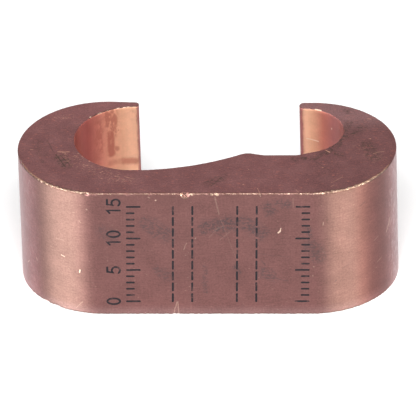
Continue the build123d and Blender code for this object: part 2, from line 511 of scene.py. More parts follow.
def profile_columns(shape, outer_table, inner_table):
    """Numbers of the columns along the profile, and their places along the skin. They are spread by the
    longer of the two sides' lengths, and crowded where the big dent is."""
    _, outer_run, along = outer_places(outer_table)
    inner_run = sample(inner_table, FINE)[1]
    dense = 1 + DENT_CROWDING * hump(along, BIG_DENT[0], CROWDED_STRETCH)
    effort = np.concatenate([[0], np.cumsum(np.maximum(np.diff(outer_run), np.diff(inner_run)) * dense[1:])])
    numbers = np.interp(np.linspace(0, effort[-1], shape.columns), effort, FINE)
    return numbers, np.interp(numbers, FINE, along)


def body_wall(shape, loop, along, on_skin, height):
    """The wall's rows of points from the lower to the upper rim, their wear, and how bright both cut edges
    are worn, under False for the lower and True for the upper one."""
    tangent = np.roll(loop, -1, axis=0) - np.roll(loop, 1, axis=0)
    tangent /= np.linalg.norm(tangent, axis=1)[:, None]
    normal = np.column_stack([tangent[:, 1], -tangent[:, 0]])
    run = run_length(loop)
    share = run / (run[-1] + np.hypot(*(loop[0] - loop[-1])))
    edge, strength, rims = {}, {}, {}
    for seed, top in ((LOWER_SEED, False), (UPPER_SEED, True)):
        strength[top] = edge_strength(loop, along, on_skin, top)
        edge[top] = edge_rounding(shape, loop, along, share, on_skin, strength[top], top, seed)
        rims[top] = rim_rows(loop, normal, edge[top], strength[top], height, top)
    low = edge[False]
    levels = body_rows(height - 2 * shape.edge_round)
    wall = [np.column_stack([loop, low + (height - 2 * low) * level]) for level in levels]
    fades = [WEAR_SHARE * math.exp(-min(level, 1 - level) * height / WEAR_FADE) for level in levels]
    wall_wear = [fade * strength[bool(level > 0.5)] for fade, level in zip(fades, levels)]
    tube = np.stack(rims[False][0] + wall + rims[True][0])
    return tube, np.array(rims[False][1] + wall_wear + rims[True][1]), strength


def cut_face(rim, rim_numbers, across, lines, first, strength):
    """A ruled cut face: the vertex numbers of its grid, its new points, and their wear. rim holds the points
    of the loop, across the loop's place on the inner side for every column, and first is the number of the
    first new vertex."""
    columns = len(across)
    start, end = rim[:columns], rim[across]
    width = np.linalg.norm(end - start, axis=1)
    shares = cap_shares(width, lines)
    grid = start + (end - start) * shares[..., None]
    away = np.minimum(shares, 1 - shares) * width
    index = np.empty((lines, columns), int)
    index[0], index[-1] = rim_numbers[:columns], rim_numbers[across]
    index[:, 0], index[:, -1] = index[0, 0], index[0, -1]
    index[1:-1, 1:-1] = first + np.arange((lines - 2) * (columns - 2)).reshape(lines - 2, columns - 2)
    rim_wear = np.where(shares < 0.5, strength[:columns], strength[across])
    wear = WEAR_SHARE * rim_wear * np.exp(-away / WEAR_FADE)
    return index, grid[1:-1, 1:-1].reshape(-1, 3), wear[1:-1, 1:-1].ravel()


def wall_finish(faces, tube, flat, along_outer, along_inner):
    """Which part each face of the wall belongs to, and the unrolled places of its corners: along and up on
    the skin and in the grooves, and across and back where the cut faces' finish reaches round the edge."""
    outer_side = np.arange(faces.shape[1]) < len(along_outer) - 1
    part = np.zeros(faces.shape[:2], int) + np.where(outer_side, SKIN_PART, GROOVE_PART)
    for side, rows in ((outer_side, len(ROUNDING) // 2), (~outer_side, len(ROUNDING))):
        part[:rows, side] = CUT_PART
        part[-rows:, side] = CUT_PART
    start = np.concatenate([along_outer[:-1], along_inner[:0:-1]])
    end = np.concatenate([along_outer[1:], along_inner[-2::-1]])
    along = np.broadcast_to(np.stack([start, end, end, start], axis=-1), faces.shape)
    up = quads(closing(tube[..., 2] / MM))
    on_cut = (part == CUT_PART)[..., None, None]
    places = np.where(on_cut, flat[faces][..., :2] / MM, np.stack([along, up], axis=-1))
    return part.ravel(), places.reshape(-1, 4, 2)


def build_body(shape):
    """The body as one closed mesh. Its wall is the profile carried up from the base, with the outward
    normal and a small radius rounding it over into both cut faces. Each cut face is ruled: every column
    joins a point of the outer rim to the point across the copper on the inner rim."""
    height = CAD_HIGH.z - CAD_LOW.z
    outer_table, inner_table = (measured(side) for side in profile_pieces(shape))
    numbers, along_outer = profile_columns(shape, outer_table, inner_table)
    columns = len(numbers)
    outer = sample(outer_table, numbers)[0]
    inner, inner_run = sample(inner_table, numbers)
    along_inner = (inner_run - np.interp(3.0, numbers, inner_run)) / MM

    # One closed loop round the profile, carried up the wall
    loop = np.vstack([outer, inner[-2:0:-1]])
    along = np.concatenate([along_outer, along_inner[-2:0:-1]])
    count = len(loop)
    tube, tube_wear, strength = body_wall(shape, loop, along, np.arange(count) < columns, height)
    tube_index = np.arange(tube.shape[0] * count).reshape(tube.shape[0], count)
    points, wears = [tube.reshape(-1, 3)], [tube_wear.ravel()]

    # Cut faces, of which the lower one is turned over to face down
    across = np.concatenate([[0], np.arange(count - 1, columns - 1, -1), [columns - 1]])
    caps, made = [], tube_index.size
    for row, lines, top in ((0, LOWER_LINES, False), (-1, UPPER_LINES, True)):
        index, new, wear = cut_face(tube[row], tube_index[row], across, lines, made, strength[top])
        made += len(new)
        points.append(new)
        wears.append(wear)
        caps.append(quads(index if top else index[::-1]).reshape(-1, 4))

    # Faces, with the three parts that carry their own finish
    points = np.vstack(points)
    wall = quads(closing(tube_index))
    part, wall_places = wall_finish(wall, tube, points, along_outer, along_inner)
    faces = np.vstack([wall.reshape(-1, 4), *caps])
    places = np.vstack([wall_places, *(points[cap][..., :2] / MM for cap in caps)])
    parts = np.concatenate([part, *(np.full(len(cap), CUT_PART) for cap in caps)])

    points[:, 2] += CAD_LOW.z
    points = np.clip(dent_body(points, outer_table), np.array(CAD_LOW), np.array(CAD_HIGH))
    return points, faces, places, parts, np.concatenate(wears)


def skin_place(along, outer_table):
    """The point on the profile's outer side at a distance along from the front's middle, and its inward
    normal."""
    where, _, places = outer_places(outer_table)
    near = (along, along + 0.05)
    spot, ahead = np.column_stack([np.interp(near, places, where[:, axis]) for axis in (0, 1)])
    tangent = (ahead - spot) / np.linalg.norm(ahead - spot)
    return spot, np.array([-tangent[1], tangent[0]])


def dent_body(points, outer_table):
    """Presses each dent into the body: the ball comes in square to the skin, and at the lower cut edge at 45
    degrees."""
    for along, up, radius, depth in (BIG_DENT, *EDGE_DENTS, *SKIN_DENTS):
        spot, inward = skin_place(along, outer_table)
        tilt, corner_loss = (1.0, CORNER_LOSS) if up <= 0.0 else (0.0, 0.0)
        push = np.array([inward[0], inward[1], tilt])
        push /= np.linalg.norm(push)
        surface = np.array([spot[0], spot[1], CAD_LOW.z + up * MM])
        centre = surface - push * (radius * MM - depth * MM - corner_loss)
        points = press(points, centre, radius * MM, push)
    return points


def mesh_object(name, points, faces, places, parts, materials):
    """A smooth mesh object at the origin with a UV map in millimetres and one material for each part. A
    corner that repeats the next one is left out, which makes a triangle."""
    mesh = bpy.data.meshes.new(name)
    kept = faces != np.roll(faces, -1, axis=1)
    mesh.from_pydata(points, [], np.split(faces[kept], np.cumsum(kept.sum(axis=1))[:-1]))
    layer = mesh.uv_layers.new(name=UNROLLED)
    layer.data.foreach_set("uv", places[kept].ravel())
    for material in materials:
        mesh.materials.append(material)
    mesh.polygons.foreach_set("material_index", parts)
    mesh.polygons.foreach_set("use_smooth", np.ones(len(parts), bool))
    mesh.update()
    piece = bpy.data.objects.new(name, mesh)
    bpy.context.scene.collection.objects.link(piece)
    return piece


def add(tree, kind, inputs=None, **settings):
    """Adds one node, sets its options, and gives its inputs values or other nodes' outputs."""
    node = tree.nodes.new(kind)
    for name, value in settings.items():
        setattr(node, name, value)
    for name, value in (inputs or {}).items():
        socket = node.inputs[name]
        if isinstance(value, bpy.types.NodeSocket):
            tree.links.new(value, socket)
        else:
            socket.default_value = value
    return node


def math_node(tree, operation, first, second):
    """The result of one sum on two values."""
    return add(tree, "ShaderNodeMath", {0: first, 1: second}, operation=operation).outputs[0]


def vector_node(tree, operation, inputs):
    """The result of one sum on vectors, which is a vector or, for a length or a product, a value."""
    outputs = add(tree, "ShaderNodeVectorMath", inputs, operation=operation).outputs
    return outputs["Value" if operation in ("DOT_PRODUCT", "DISTANCE", "LENGTH") else "Vector"]


def separate(tree, place):
    """The parts of a place across, up or back, and out."""
    return add(tree, "ShaderNodeSeparateXYZ", {"Vector": place}).outputs


def remap(tree, value, from_low, from_high, to_low=0.0, to_high=1.0):
    """A value taken smoothly from one range to another, with the ends held."""
    node = add(
        tree,
        "ShaderNodeMapRange",
        {"Value": value, 1: from_low, 2: from_high, 3: to_low, 4: to_high},
        interpolation_type="SMOOTHSTEP",
        clamp=False,
    )
    return node.outputs[0]


def blend(tree, share, first, second, kind="MIX"):
    """Two colours mixed by a share."""
    node = add(tree, "ShaderNodeMix", data_type="RGBA", blend_type=kind)
    for socket, value in ((node.inputs[0], share), (node.inputs[6], first), (node.inputs[7], second)):
        if isinstance(value, bpy.types.NodeSocket):
            tree.links.new(value, socket)
        else:
            socket.default_value = (*value, 1.0) if hasattr(value, "__len__") else value
    return node.outputs[2]


def noise(tree, place, scale, detail=3.0, roughness=0.55, stretch=(1.0, 1.0, 1.0), turned=0.0, shift=0.0):
    """Fractal noise over a place, which can be stretched and turned."""
    mapping = {"Vector": place, "Scale": stretch, "Rotation": (0.0, 0.0, turned), "Location": (shift,) * 3}
    mapped = add(tree, "ShaderNodeMapping", mapping).outputs[0]
    fractal = {"Vector": mapped, "Scale": scale, "Detail": detail, "Roughness": roughness}
    return add(tree, "ShaderNodeTexNoise", fractal).outputs["Fac"]


def mark_group():
    """A node group that draws one soft-edged stroke: full strength within the inner radius of the line
    from Start to Start + Reach, falling smoothly to 0 at the outer one. Scaled is the reach over the
    square of its length, so that its dot product with a place gives the share along the line."""
    group = bpy.data.node_groups.get("stroke")
    if group:
        return group
    group = bpy.data.node_groups.new("stroke", "ShaderNodeTree")
    face = group.interface
    for name in ("Place", "Start", "Reach", "Scaled"):
        face.new_socket(name=name, in_out="INPUT", socket_type="NodeSocketVector")
    for name in ("Inner", "Outer", "Strength"):
        face.new_socket(name=name, in_out="INPUT", socket_type="NodeSocketFloat")
    face.new_socket(name="Mask", in_out="OUTPUT", socket_type="NodeSocketFloat")
    inside = add(group, "NodeGroupInput").outputs
    offset = vector_node(group, "SUBTRACT", {0: inside["Place"], 1: inside["Start"]})
    dot = vector_node(group, "DOT_PRODUCT", {0: offset, 1: inside["Scaled"]})
    share = math_node(group, "MINIMUM", math_node(group, "MAXIMUM", dot, 0.0), 1.0)
    foot = vector_node(group, "SCALE", {0: inside["Reach"], "Scale": share})
    away = vector_node(group, "DISTANCE", {0: offset, 1: foot})
    mask = remap(group, away, inside["Outer"], inside["Inner"], 0.0, inside["Strength"])
    add(group, "NodeGroupOutput", {"Mask": mask})
    return group


def strokes(tree, place, rows):
    """The strongest of several strokes. A row is where it starts, where it ends, its radius, the softness
    outside that, and its strength, all in millimetres."""
    total = None
    for x0, y0, x1, y1, radius, soft, strength in rows:
        reach = Vector((x1 - x0, y1 - y0, 0.0))
        values = {
            "Place": place,
            "Start": (x0, y0, 0.0),
            "Reach": reach,
            "Scaled": reach / max(reach.length_squared, 1e-6),
            "Inner": radius,
            "Outer": radius + soft,
            "Strength": strength,
        }
        mask = add(tree, "ShaderNodeGroup", values, node_tree=mark_group()).outputs["Mask"]
        total = mask if total is None else math_node(tree, "MAXIMUM", total, mask)
    return total


def wander(tree, place, scale, reach):
    """A place moved by noise, so that outlines drawn on it are ragged."""
    node = add(tree, "ShaderNodeTexNoise", {"Vector": place, "Scale": scale, "Detail": 4.0, "Roughness": 0.6})
    centred = vector_node(tree, "SUBTRACT", {0: node.outputs["Color"], 1: (0.5, 0.5, 0.5)})
    scaled = vector_node(tree, "SCALE", {0: centred, "Scale": reach})
    return vector_node(tree, "ADD", {0: place, 1: scaled})


def new_material(name, **gloss):
    """An empty node material with its shader, and the place on the piece in millimetres. gloss gives the
    shader's own fixed values by their names."""
    material = bpy.data.materials.new(name)
    material.use_nodes = True
    tree = material.node_tree
    tree.nodes.clear()
    fixed = {label.replace("_", " ").title().replace("Ior", "IOR"): value for label, value in gloss.items()}
    shader = add(tree, "ShaderNodeBsdfPrincipled", fixed)
    add(tree, "ShaderNodeOutputMaterial", {"Surface": shader.outputs[0]})
    place = add(tree, "ShaderNodeUVMap", uv_map=UNROLLED).outputs[0]
    return material, tree, shader, place


def shade(tree, tone, pattern, dark, light):
    """A colour scaled from dark, where a pattern is low, to light, where it is high."""
    level = remap(tree, pattern, 0.3, 0.7, dark, light)
    return vector_node(tree, "SCALE", {0: tone, "Scale": level})


def mottle(tree, tone, *patterns):
    """A colour scaled by several patterns in turn, each with how far it goes either way."""
    for pattern, spread in patterns:
        tone = shade(tree, tone, pattern, 1 - spread, 1 + spread)
    return tone


def part_of(tree, mask, share):
    """A mask weakened to a share of itself, or to where another mask is."""
    return math_node(tree, "MULTIPLY", mask, share)


def edge_mask(tree, place):
    """Two masks from the piece's own wear: the whole cut edge, and where it is rubbed bright, which fine
    noise breaks up into crumbs."""
    attribute = add(tree, "ShaderNodeAttribute", attribute_name=EDGE_WEAR, attribute_type="GEOMETRY")
    wear = attribute.outputs["Fac"]
    broken = math_node(tree, "SUBTRACT", noise(tree, place, 1.9, 2.0, 0.75), 0.5)
    grainy = math_node(tree, "ADD", wear, part_of(tree, broken, 3.0))
    near = remap(tree, wear, 0.02, 0.25)
    return near, part_of(tree, remap(tree, grainy, 0.30, 1.30), near)


def fill_shader(tree, shader, tone, rough, height, strength, depth):
    """Gives a shader its colour, its roughness, and relief from a height."""
    bump = add(tree, "ShaderNodeBump", {"Strength": strength, "Distance": depth, "Height": height})
    tree.links.new(tone, shader.inputs["Base Color"])
    tree.links.new(rough, shader.inputs["Roughness"])
    tree.links.new(bump.outputs[0], shader.inputs["Normal"])


# Marks on the skin: from (along, up) to (along, up) in millimetres, then radius, softness and strength
SKIN_SMUDGES = (
    (-7.6, 14.3, -5.2, 12.7, 0.5, 1.3, 0.7),
    (-6.3, 6.9, -5.4, 6.3, 0.3, 1.0, 0.6),
    (0.2, 13.9, 3.8, 14.4, 0.5, 1.3, 0.9),
    (5.4, 14.6, 7.4, 13.0, 0.5, 1.2, 0.8),
    (8.5, 17.0, 8.9, 16.4, 0.3, 0.9, 0.8),
    (9.9, 17.9, 11.2, 17.4, 0.2, 0.8, 0.8),
    (3.9, 7.4, 4.5, 6.8, 0.15, 0.5, 1.0),
    (7.8, 6.7, 8.8, 6.0, 0.3, 1.0, 0.7),
    (-0.2, 7.6, -0.1, 3.6, 0.1, 0.5, 0.6),
    (13.8, 13.7, 14.3, 12.8, 0.2, 0.6, 0.8),
    (14.3, 10.9, 15.2, 9.2, 0.4, 1.2, 0.7),
    (-13.6, 13.4, -12.4, 12.2, 0.4, 1.2, 0.5),
)
SKIN_LINES = (
    (1.5, 13.0, 2.7, 12.25, 0.02, 0.10, 0.7),
    (7.55, 8.55, 8.0, 7.85, 0.03, 0.10, 0.7),
    (9.8, 5.6, 11.0, 5.35, 0.02, 0.10, 0.7),
    (6.8, 9.8, 9.0, 9.35, 0.01, 0.08, 0.5),
    (9.0, 9.35, 11.5, 9.15, 0.01, 0.08, 0.4),
    (21.1, 15.7, 22.1, 16.2, 0.02, 0.09, 0.7),
    (18.35, 6.75, 19.7, 7.5, 0.01, 0.08, 0.5),
    (-0.25, 7.9, -0.35, 3.3, 0.01, 0.08, 0.4),
    (-16.9, 6.35, -16.75, 6.9, 0.03, 0.10, 0.6),
    (17.35, 4.95, 17.5, 5.1, 0.04, 0.07, 0.8),
)
SKIN_SCRATCHES_AND_DENT_GLINTS = (
    (1.5, 18.6, 2.0, 15.9, 0.02, 0.14, 0.13),
    (-2.9, 10.3, -2.45, 11.4, 0.01, 0.08, 0.23),
    (-19.65, 8.6, -19.15, 8.45, 0.02, 0.07, 0.9),
    (-17.7, 0.6, -16.75, 1.8, 0.01, 0.09, 0.20),
    (-20.4, 11.0, -19.2, 11.05, 0.01, 0.07, 0.17),
    (23.6, 9.3, 24.45, 9.7, 0.01, 0.07, 0.23),
    (24.15, 5.7, 25.0, 5.95, 0.01, 0.07, 0.23),
    (9.85, 13.0, 10.1, 13.3, 0.07, 0.07, 1.0),
    (10.1, 13.3, 10.22, 13.7, 0.04, 0.07, 0.9),
    (-17.05, 6.45, -16.95, 6.8, 0.06, 0.07, 1.0),
    (15.8, 14.15, 15.9, 14.5, 0.03, 0.07, 0.30),
    (14.43, 7.6, 14.5, 7.6, 0.05, 0.07, 0.25),
    (14.28, 6.15, 14.33, 6.15, 0.05, 0.07, 0.25),
    (-26.95, 4.15, -26.5, 4.6, 0.03, 0.09, 0.55),
    (-24.5, 6.15, -24.25, 5.85, 0.02, 0.08, 0.42),
    (-25.05, 2.5, -24.95, 2.3, 0.02, 0.08, 0.20),
    (-15.75, 16.6, -15.65, 16.55, 0.05, 0.08, 0.25),
    (-16.8, 14.7, -16.6, 14.4, 0.02, 0.08, 0.20),
    (-6.42, 18.15, -6.38, 18.15, 0.04, 0.07, 0.8),
    (-7.4, 18.6, -7.2, 18.5, 0.03, 0.07, 0.25),
    (-1.3, 12.0, -1.2, 12.2, 0.03, 0.06, 0.25),
    (-4.5, 0.1, -4.0, 2.0, 0.02, 0.10, 0.28),
    (-3.8, 0.1, -3.9, 2.0, 0.02, 0.10, 0.28),
    (11.95, 18.5, 11.9, 17.1, 0.02, 0.12, 0.08),
    # These four rows are painted highlights on the dents at the right end.
    (26.85, 9.9, 27.45, 10.9, 0.05, 0.10, 0.55),
    (26.3, 9.25, 26.75, 9.75, 0.04, 0.09, 0.40),
    (27.3, 9.6, 27.75, 10.3, 0.02, 0.09, 0.30),
    (28.4, 11.6, 28.9, 12.3, 0.04, 0.11, 0.35),
    (1.2, 13.4, 2.7, 14.1, 0.01, 0.09, 0.10),
    (2.0, 11.9, 3.4, 13.2, 0.01, 0.09, 0.09),
    (2.1, 15.4, 4.2, 8.6, 0.01, 0.09, 0.06),
    (0.6, 12.3, 1.9, 13.9, 0.01, 0.09, 0.08),
    (7.5, 19.1, 7.6, 18.7, 0.02, 0.07, 0.25),
    (20.3, 19.1, 24.0, 19.1, 0.05, 0.10, 0.22),
    (24.0, 19.1, 26.5, 19.1, 0.05, 0.10, 0.15),
)
SKIN_DING = ((-2.52, 18.92, -2.52, 18.90, 0.48, 0.12, 1.0),)
# The first three rows are a painted highlight on the big dent's lower left rim. The last three are worn chips
# along the top edge.
DING_HIGHLIGHT_AND_CHIPS = (
    (-2.95, 18.75, -2.65, 18.42, 0.01, 0.08, 0.45),
    (-2.65, 18.42, -2.20, 18.55, 0.01, 0.08, 0.35),
    (-3.02, 19.05, -2.95, 18.75, 0.02, 0.07, 0.7),
    (-1.75, 19.10, -1.50, 18.95, 0.10, 0.08, 1.0),
    (1.00, 19.05, 1.20, 19.0, 0.07, 0.08, 0.9),
    (1.60, 19.10, 1.85, 18.95, 0.12, 0.08, 1.0),
)


def skin_material(finish):
    """Tarnished copper skin: mottled, warmer on the right, with faint lines up the body, fine slanting brush
    lines, small nicks, cloudy smudges, scratches and bright worn edges, under a thin film that pales the
    rims. Light is painted into its colour in places: the two bands where the side lamps' highlights fall
    are painted brighter, partly as copper brightened by handling and partly as painted highlight. Both ends
    carry a painted mauve sheen with patches of pale painted highlight. The big dent's rim and the dents at
    the right end carry painted highlights. The gloss is stretched up and down the body."""
    material, tree, shader, place = new_material(
        "copper_skin",
        metallic=1.0,
        anisotropic=0.7,
        anisotropic_rotation=0.25,
        specular_tint=(1.0, 0.95, 0.96, 1.0),
        coat_weight=0.24,
        coat_roughness=0.3,
    )
    direction = add(tree, "ShaderNodeTangent", direction_type="UV_MAP", uv_map=UNROLLED).outputs[0]
    tree.links.new(direction, shader.inputs["Tangent"])
    along, up, _ = separate(tree, place)
    # The two bands where the side lamps' highlights fall are painted brighter: partly copper brightened by
    # handling, partly painted highlight.
    left = part_of(tree, remap(tree, along, -14.5, -18.5), remap(tree, along, -25.5, -20.5))
    right = part_of(tree, remap(tree, along, 14.5, 17.5), remap(tree, along, 24.5, 19.5))
    handled_and_band_highlight = math_node(tree, "MAXIMUM", left, part_of(tree, right, 0.7))
    left_end, right_end = remap(tree, along, -22.5, -26.0), remap(tree, along, 25.5, 29.5)
    broad = noise(tree, place, 0.25, 3.0)
    drawn = noise(tree, place, 1.0, 3.0, 0.6, stretch=(3.5, 0.12, 1.0))
    brushed = noise(tree, place, 1.0, 3.0, 0.6, stretch=(0.4, 6.0, 1.0), turned=math.radians(-48))
    grain = noise(tree, place, 4.0, 3.0, 0.7)
    fine = noise(tree, place, 7.0, 1.0, 0.5, shift=11.0)
    cloudy = noise(tree, place, 1.9, 5.0, 0.8, stretch=(1.0, 1.4, 1.0))

    tone = blend(tree, handled_and_band_highlight, finish.skin, finish.skin_light)
    # Painted sheen round both ends: the skin is painted a lighter mauve there, and the rubbed noise breaks a
    # pale mauve painted highlight over it into patches.
    ends = math_node(tree, "MAXIMUM", left_end, right_end)
    tone = blend(tree, ends, tone, finish.skin_end)
    right_rim_sheen = part_of(tree, right_end, remap(tree, along, 37.0, 31.0))
    rim_sheen = math_node(tree, "MAXIMUM", part_of(tree, ends, 0.28), part_of(tree, right_rim_sheen, 0.85))
    rubbed = remap(tree, noise(tree, place, 1.6, 5.0, 0.8, stretch=(1.1, 0.45, 1.0), shift=5.0), 0.46, 0.62)
    tone = blend(tree, part_of(tree, rim_sheen, rubbed), tone, finish.dust)
    # The skin is blended paler towards the base, over its lowest 1.8 mm.
    tone = blend(tree, part_of(tree, remap(tree, up, 1.8, 0.0), 0.20), tone, finish.dust)
    tone = mottle(tree, tone, (broad, 0.09), (drawn, 0.03), (cloudy, 0.07), (grain, 0.15), (brushed, 0.06))
    pits = part_of(tree, remap(tree, fine, 0.70, 0.78), remap(tree, broad, 0.45, 0.6))
    tone = blend(tree, part_of(tree, pits, 0.35), tone, finish.smudge)
    nicks = noise(tree, place, 1.0, 1.0, 0.5, stretch=(1.4, 5.0, 1.0), turned=math.radians(-48), shift=17.0)
    tone = blend(tree, part_of(tree, remap(tree, nicks, 0.72, 0.78), 0.16), tone, finish.worn)
    warm = part_of(tree, remap(tree, along, 19.5, 22.0), remap(tree, along, 29.0, 27.0))
    tone = blend(tree, warm, tone, (1.06, 0.93, 0.90), "MULTIPLY")

    smudge = strokes(tree, wander(tree, place, 0.8, 2.0), SKIN_SMUDGES)
    smudge = part_of(tree, smudge, remap(tree, cloudy, 0.43, 0.57))
    tone = blend(tree, part_of(tree, smudge, 0.84), tone, finish.smudge)
    ragged = wander(tree, place, 1.6, 0.25)
    tone = blend(tree, part_of(tree, strokes(tree, ragged, SKIN_LINES), 0.5), tone, finish.smudge)
    scratch = strokes(tree, ragged, SKIN_SCRATCHES_AND_DENT_GLINTS)
    edge, rubbed_edge = edge_mask(tree, place)
    dented = strokes(tree, ragged, SKIN_DING)
    tone = blend(tree, part_of(tree, math_node(tree, "MAXIMUM", edge, dented), 0.9), tone, finish.dull)
    tone = blend(tree, rubbed_edge, tone, finish.rim)
    # A painted highlight on the big dent's rim, and worn chips along the top edge.
    tone = blend(tree, part_of(tree, strokes(tree, ragged, DING_HIGHLIGHT_AND_CHIPS), 0.9), tone, finish.rim)
    # Scratches, and painted highlights on the dents at the right end.
    tone = blend(tree, part_of(tree, scratch, 0.85), tone, finish.worn)

    level = math_node(tree, "ADD", finish.skin_roughness - 0.04, part_of(tree, grain, 0.08))
    rough = math_node(tree, "ADD", level, part_of(tree, edge, 0.10))
    height = math_node(tree, "ADD", part_of(tree, drawn, 0.12), part_of(tree, grain, 0.30))
    height = math_node(tree, "ADD", height, part_of(tree, brushed, 0.25))
    fill_shader(tree, shader, tone, rough, height, 0.4, 0.015 * MM)
    return material


# Marks on the sawn faces, in millimetres across the body and towards its back
CUT_SMUDGES = (
    (18.5, 9.3, 18.8, 8.7, 0.15, 0.5, 0.8),
    (19.7, 3.6, 20.7, 4.7, 0.30, 0.8, 0.9),
    (17.4, -1.6, 18.2, -2.2, 0.20, 0.6, 0.8),
    (21.6, 0.6, 22.6, -2.6, 0.35, 1.2, 0.8),
    (18.9, 6.2, 18.7, 2.6, 0.15, 0.7, 0.8),
    (11.75, -3.1, 14.4, -2.9, 0.12, 0.5, 1.0),
    (14.4, -2.9, 16.0, -1.6, 0.15, 0.5, 0.9),
    (16.0, -1.6, 17.6, 0.6, 0.20, 0.6, 1.0),
    (17.9, 1.4, 18.5, 4.9, 0.15, 0.5, 1.0),
    (-19.6, -2.6, -18.8, -4.6, 0.45, 0.8, 0.9),
    (-22.0, -3.3, -21.9, -3.7, 0.15, 0.4, 0.8),
    (0.6, -9.2, 2.2, -8.0, 0.25, 0.9, 0.8),
    (2.2, -8.0, 2.7, -6.9, 0.10, 0.5, 0.7),
    (-22.8, 1.0, -22.2, -1.6, 0.3, 1.2, 0.4),
)
CUT_LINES = (
    (-20.2, -1.9, -18.8, -5.0, 0.03, 0.10, 0.9),
    (-19.5, -2.2, -18.2, -4.6, 0.02, 0.09, 0.8),
    (-19.2, -4.9, -18.2, -3.4, 0.03, 0.09, 0.7),
    (-19.8, -4.2, -18.6, -2.8, 0.02, 0.08, 0.6),
    (-21.6, 1.8, -20.7, -1.0, 0.02, 0.12, 0.5),
    (0.9, -9.9, 2.3, -7.6, 0.02, 0.10, 0.6),
    (14.6, -3.6, 16.9, -6.3, 0.01, 0.10, 0.4),
)
CUT_SCRATCHES = (
    (16.9, -9.15, 18.4, -7.6, 0.02, 0.08, 0.26),
    (16.95, -10.0, 17.3, -9.6, 0.02, 0.08, 0.26),
    (22.4, -1.75, 23.0, -1.35, 0.02, 0.09, 0.34),
    (23.0, -1.35, 23.8, -1.25, 0.02, 0.09, 0.34),
    (-19.95, -1.2, -18.5, -1.2, 0.03, 0.12, 0.60),
    (-19.4, -1.45, -18.9, -1.5, 0.03, 0.10, 0.45),
    (16.1, -0.95, 16.5, -1.35, 0.05, 0.09, 0.68),
    (15.66, -5.25, 15.74, -5.25, 0.05, 0.09, 0.45),
    (-19.82, 7.4, -19.74, 7.4, 0.05, 0.09, 0.52),
    (-19.4, 7.45, -19.3, 7.45, 0.04, 0.09, 0.45),
    (-23.7, -0.55, -23.4, -0.65, 0.03, 0.10, 0.38),
    (-17.3, -1.65, -17.1, -1.7, 0.04, 0.08, 0.52),
    (-17.7, -2.2, -17.4, -2.3, 0.03, 0.10, 0.45),
    (-16.7, -2.4, -16.5, -2.55, 0.04, 0.09, 0.45),
    (-15.68, -3.5, -15.55, -3.6, 0.06, 0.08, 0.75),
    (-16.1, -4.6, -15.8, -4.6, 0.03, 0.10, 0.45),
    (-13.85, -7.9, -13.75, -7.9, 0.03, 0.10, 0.45),
    (-10.5, -7.6, -10.1, -7.8, 0.04, 0.12, 0.38),
    (-11.0, -8.3, -10.7, -8.3, 0.03, 0.12, 0.30),
    (-12.85, -8.85, -12.75, -8.85, 0.03, 0.10, 0.38),
    (5.78, -5.7, 5.82, -5.7, 0.05, 0.08, 0.45),
    (5.2, -9.45, 5.3, -9.45, 0.04, 0.08, 0.45),
    (21.88, 2.05, 21.95, 2.05, 0.05, 0.09, 0.45),
    (7.15, -10.45, 7.5, -11.7, 0.01, 0.07, 0.52),
    (12.3, -10.8, 12.7, -11.4, 0.02, 0.08, 0.38),
    (21.5, 7.2, 21.8, 7.0, 0.08, 0.15, 0.26),
    (20.2, -9.85, 21.6, -8.80, 0.05, 0.15, 0.30),
    (21.6, -8.80, 23.4, -6.80, 0.05, 0.15, 0.42),
    (23.4, -6.80, 24.6, -4.55, 0.05, 0.15, 0.30),
    (-24.76, -4.11, -23.36, -6.76, 0.05, 0.25, 0.32),
    (-23.36, -6.76, -21.33, -8.97, 0.05, 0.25, 0.40),
)
CUT_CHIPS = (
    (14.35, 9.62, 15.05, 9.34, 0.07, 0.08, 1.0),
    (-16.15, 7.62, -16.05, 7.72, 0.05, 0.08, 1.0),
    (-15.1, 8.5, -14.7, 8.8, 0.02, 0.07, 0.5),
    (-12.6, 9.95, -12.3, 10.05, 0.02, 0.07, 0.7),
    (-11.75, 10.2, -11.5, 10.25, 0.03, 0.07, 0.7),
    (-11.2, 10.32, -11.0, 10.35, 0.03, 0.07, 0.7),
)
CUT_SCRAPED = (
    (-18.8, -2.2, -16.0, -5.2, 0.3, 1.6, 0.55),
    (-16.0, -5.2, -10.5, -8.4, 0.3, 1.6, 0.55),
    (-20.5, 7.6, -19.0, 7.8, 0.2, 1.0, 0.40),
    (20.5, 0.5, 23.0, -3.5, 0.4, 1.8, 0.25),
)


